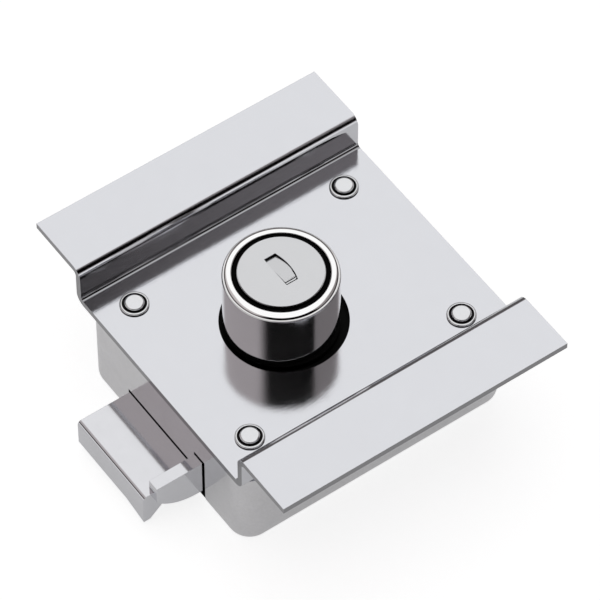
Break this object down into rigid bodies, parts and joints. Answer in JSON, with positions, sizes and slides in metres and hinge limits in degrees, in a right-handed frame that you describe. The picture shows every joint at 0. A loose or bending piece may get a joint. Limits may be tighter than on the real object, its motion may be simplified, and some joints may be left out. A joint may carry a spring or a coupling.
{
  "type": "box lock",
  "caption": "Flush-mounting push-button box lock in stainless steel, with a keyed cylinder and a sprung hook bolt",
  "frame": {"origin": "where the push cylinder's axis meets the plane of the flanges' upper faces", "axes": "+X away from the bolt, along the flanges; +Y across the trough, from the flange beside the bolt's raised cheek to the other; +Z out of the lock, the way the cylinder stands"},
  "size_m": [0.0827, 0.0874, 0.039],
  "materials": {
    "satin_steel": "satin stainless sheet",
    "bright_rivet": "bright turned steel",
    "polished_cast": "polished nickel-plated casting",
    "polished_chrome": "bright chrome plate",
    "polished_face": "smooth bright steel",
    "zinc_plate": "zinc-plated steel",
    "spring_steel": "dark hardened steel",
    "barrel_brass": "machined brass",
    "black_plastic": "moulded acetal",
    "black_rubber": "soft black seal"
  },
  "bodies": {
    "housing": {"cover_plate": "satin_steel", "lock_case": "satin_steel", "rivets": "bright_rivet", "rivet_posts": "satin_steel", "guide_block": "black_plastic", "spring_anchor": "zinc_plate", "anchor_rivet": "zinc_plate"},
    "bolt": {"bolt_head": "polished_cast", "bolt_plate": "zinc_plate", "bolt_rivets": "zinc_plate", "ramp_block": "zinc_plate", "ramp_pin": "zinc_plate", "bolt_spring": "zinc_plate"},
    "button": {"push_sleeve": "polished_chrome", "cylinder_barrel": "barrel_brass", "seal_ring": "black_rubber", "retaining_ring": "spring_steel", "driver_cup": "zinc_plate", "driver_pins": "zinc_plate"},
    "plug": {"key_plug": "polished_face", "shutter_pin": "zinc_plate", "tail_cam": "barrel_brass", "tail_clip": "spring_steel"},
    "flap": {"shutter": "polished_face"}
  },
  "joints": [
    {"name": "push_slide", "type": "slide", "parent": "housing", "child": "button", "axis": [0, 0, -1], "range_m": [0, 0.007], "stiffness_N_per_m": 500, "springref_m": -0.004},
    {"name": "bolt_slide", "type": "slide", "parent": "housing", "child": "bolt", "axis": [1, 0, 0], "range_m": [0, 0.0119], "stiffness_N_per_m": 300, "springref_m": -0.006, "deforming": ["bolt_spring"]},
    {"name": "key_turn", "type": "hinge", "parent": "button", "child": "plug", "pos_m": [0, 0, 0], "axis": [0, 0, -1], "range_deg": [0, 90]},
    {"name": "shutter_swing", "type": "hinge", "parent": "plug", "child": "flap", "pos_m": [0, -0.00265, 0.0064], "axis": [-1, 0, 0], "range_deg": [0, 80], "stiffness_Nm_per_rad": 0.001, "springref_deg": -20.05}
  ],
  "couplings": [
    {"joint": "bolt_slide", "follows": "push_slide", "ratio": 1.7}
  ]
}
